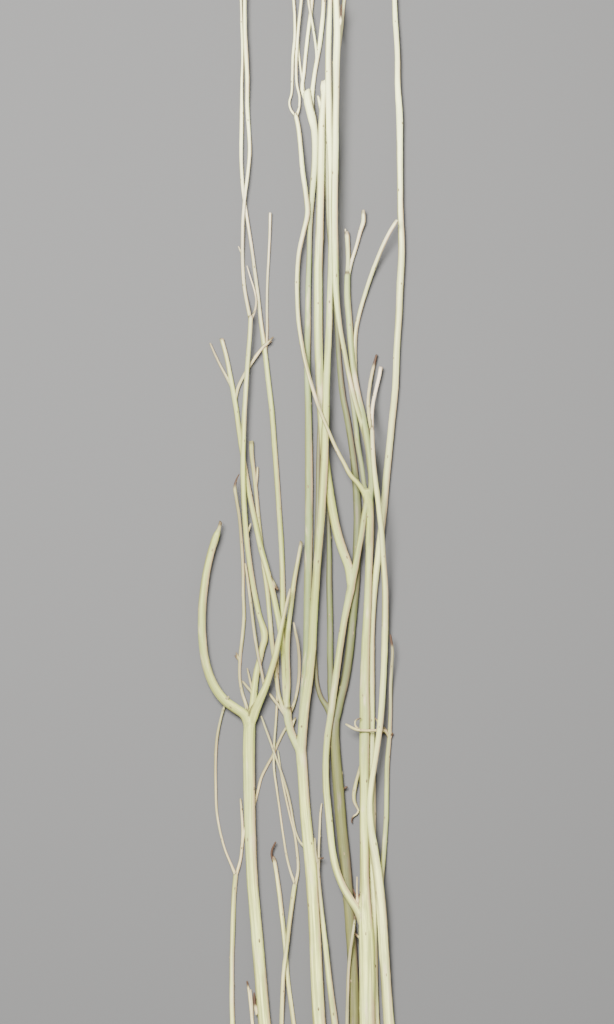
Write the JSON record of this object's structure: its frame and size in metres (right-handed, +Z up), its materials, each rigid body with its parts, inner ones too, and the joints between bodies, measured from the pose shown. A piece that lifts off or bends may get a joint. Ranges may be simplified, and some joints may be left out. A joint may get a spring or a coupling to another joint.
{
  "type": "bunch of peeled willow stems",
  "caption": "Loose bunch of long, peeled and bleached willow stems with forked twigs, cut and lying flat.",
  "frame": {"origin": "on the surface that the bunch lies on, under the middle of its box", "axes": "+Y along the stems towards the tips, +X across the bunch to the right in the picture, +Z up off the surface"},
  "size_m": [0.248, 1.4888, 0.0409],
  "materials": {
    "peeled_wood": "bare peeled wood, bleached pale cream with a green cast",
    "darker_wood": "bare peeled wood, olive cream"
  },
  "bodies": {
    "root": {"outer_right_stem": "peeled_wood", "shaded_stem": "darker_wood", "outer_left_stem": "peeled_wood", "thin_broken_stem": "peeled_wood", "thin_forked_stem": "peeled_wood", "middle_stem": "peeled_wood", "left_stem": "peeled_wood", "crowned_stem": "peeled_wood", "leaning_stem": "peeled_wood", "curved_stem": "peeled_wood", "slim_shoot": "peeled_wood"}
  },
  "joints": []
}
